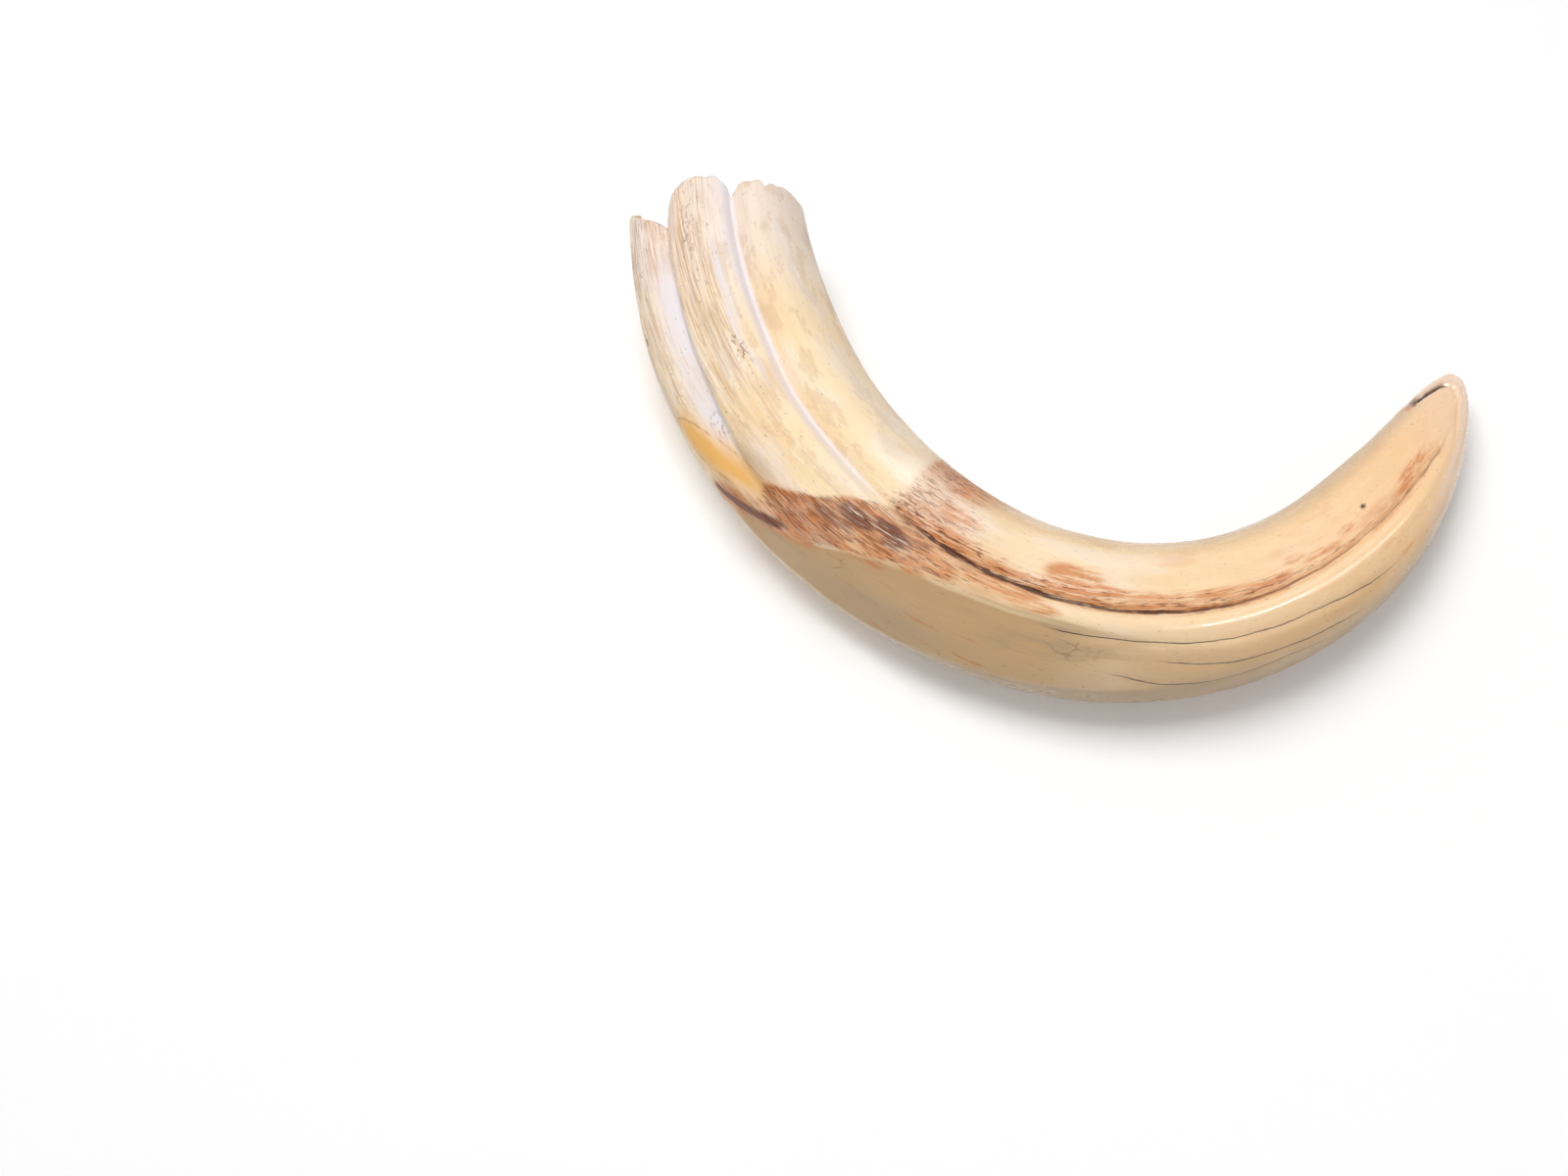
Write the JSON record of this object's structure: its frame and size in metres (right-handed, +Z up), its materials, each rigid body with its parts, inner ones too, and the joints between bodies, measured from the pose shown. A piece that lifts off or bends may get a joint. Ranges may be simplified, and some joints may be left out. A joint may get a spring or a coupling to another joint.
{
  "type": "warthog tusk",
  "caption": "Curved warthog tusk with long grooves, a worn facet on its outer curve and a hollow, broken root, lying on its side.",
  "frame": {"origin": "centre of the bounding box's footprint, on the surface the tusk lies on", "axes": "+Z up as the tusk lies on its side; +X along the chord of the bend, from the root side to the tip side; +Y the way the bend opens, so the outer curve faces -Y"},
  "size_m": [0.189, 0.1229, 0.0312],
  "materials": {
    "ivory": "satin"
  },
  "bodies": {
    "root": {"tusk": "ivory"}
  },
  "joints": []
}
